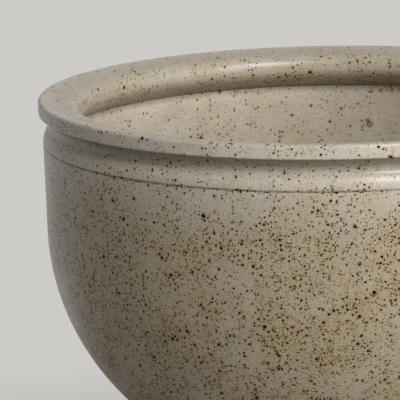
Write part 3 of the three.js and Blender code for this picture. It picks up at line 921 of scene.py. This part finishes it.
def stand():
    """Two rails that cross in a half lap, and at each of their ends a leg with its fittings."""
    along_x = oiled_walnut("oiled_walnut_rail_lower", (0, 0, 0), (38, -140))
    rail("rail_lower", True, Matrix.Identity(4), along_x)
    along_y = oiled_walnut("oiled_walnut_rail_upper", (0, 0, -QUARTER), (-42, -215))
    rail("rail_upper", False, Matrix.Rotation(QUARTER, 4, "Z"), along_y)
    felt, nylon = pressed_felt(), moulded_nylon()
    for number, place in enumerate(PLACES):
        turn = Matrix.Rotation(number * QUARTER, 4, "Z")
        heart = (26 + 9 * number, 20 - 13 * number)
        leg(place, turn, oiled_walnut("oiled_walnut_leg_" + place, (0, QUARTER, 0), heart))
        dowel = maple_dowel("maple_dowel_" + place, (0, 0, -QUARTER * (1 + number)))
        for level in PEG_HEIGHTS:
            peg(place, level, turn, dowel)
        glide(place, turn, nylon)
        pad(place, turn, felt)
    screw(turned_brass())


# ==== The studio ====


def camera():
    """Looks along a line that is turned and lowered from +Y, and rolls about it."""
    forward = Vector((
        math.sin(CAMERA_TURN) * math.cos(CAMERA_FALL),
        math.cos(CAMERA_TURN) * math.cos(CAMERA_FALL),
        -math.sin(CAMERA_FALL),
    ))
    level = Vector((math.cos(CAMERA_TURN), -math.sin(CAMERA_TURN), 0))
    above = level.cross(forward)
    right = level * math.cos(CAMERA_ROLL) + above * math.sin(CAMERA_ROLL)
    up = above * math.cos(CAMERA_ROLL) - level * math.sin(CAMERA_ROLL)
    data = bpy.data.cameras.new("camera")
    data.lens = LENS
    data.sensor_width = SENSOR
    made = bpy.data.objects.new("camera", data)
    bpy.context.scene.collection.objects.link(made)
    turn = Matrix((right, up, -forward)).transposed().to_4x4()
    made.matrix_world = Matrix.Translation(CAMERA_PLACE) @ turn
    bpy.context.scene.camera = made


def softbox(name, azimuth, elevation, size, power):
    """A square area lamp at LAMP_DISTANCE from a point inside the bowl, which it faces. Azimuth 0 is
    the camera's side and 90 is +X."""
    a, e = math.radians(azimuth), math.radians(elevation)
    back = Vector((math.sin(a) * math.cos(e), -math.cos(a) * math.cos(e), math.sin(e)))
    data = bpy.data.lights.new(name, "AREA")
    data.shape = "SQUARE"
    data.size = size
    data.energy = power
    lamp = bpy.data.objects.new(name, data)
    bpy.context.scene.collection.objects.link(lamp)
    lamp.location = Vector((0, 0, BOWL_HIGH.z * 0.8)) + back * LAMP_DISTANCE
    lamp.rotation_mode = "QUATERNION"
    lamp.rotation_quaternion = back.to_track_quat("Z", "Y")


def background_rays(tree):
    """1 for rays that show the background: from the camera, off a glossy surface or through glass."""
    ray = add(tree, "LightPath")
    shown = add(tree, "Math", {0: ray.outputs["Is Camera Ray"], 1: ray.outputs["Is Glossy Ray"]},
                operation="MAXIMUM")
    return add(tree, "Math", {0: shown, 1: ray.outputs["Is Transmission Ray"]}, operation="MAXIMUM")


def studio():
    """Pale floor that fades into an equally pale surround, and the lamps. What shows of the surround
    and of the fade hardly lights the object."""
    pale = linear(PALE)
    world = bpy.data.worlds.new("studio")
    bpy.context.scene.world = world
    world.use_nodes = True
    tree = world.node_tree
    tree.nodes.clear()
    around = add(tree, "Background", {"Color": linear("#ffffff"), "Strength": AMBIENT})
    backdrop = add(tree, "Background", {"Color": pale, "Strength": 1.0})
    both = add(tree, "MixShader", {0: background_rays(tree), 1: around, 2: backdrop})
    add(tree, "OutputWorld", {"Surface": both})

    material, tree, mm = new_material("studio_floor")
    far = add(tree, "VectorMath", {0: mm}, operation="LENGTH").outputs["Value"]
    fade = add(tree, "MapRange", {"Value": far, "From Min": FLOOR_FADE[0], "From Max": FLOOR_FADE[1]},
               interpolation_type="SMOOTHSTEP")
    seen = background_rays(tree)
    share = add(tree, "Math", {0: fade, 1: seen}, operation="MULTIPLY")
    plain = add(tree, "BsdfDiffuse", {"Color": pale})
    glow = add(tree, "Emission", {"Color": pale, "Strength": 1.0})
    top = add(tree, "MixShader", {0: share, 1: plain, 2: glow})
    below = add(tree, "NewGeometry").outputs["Backfacing"]
    hidden = add(tree, "Math", {0: below, 1: seen}, operation="MULTIPLY")
    surface = add(tree, "MixShader", {0: hidden, 1: top, 2: add(tree, "BsdfTransparent")})
    add(tree, "OutputMaterial", {"Surface": surface})
    corners = [(x * FLOOR_REACH, y * FLOOR_REACH, 0) for x, y in ((-1, -1), (1, -1), (1, 1), (-1, 1))]
    floor = new_piece("floor", corners, [(0, 1, 2, 3)], material)

    for name, setting in LAMPS.items():
        softbox(name, *setting)


bpy.context.scene.view_settings.view_transform = "Standard"
camera()
bowl()
stand()
studio()
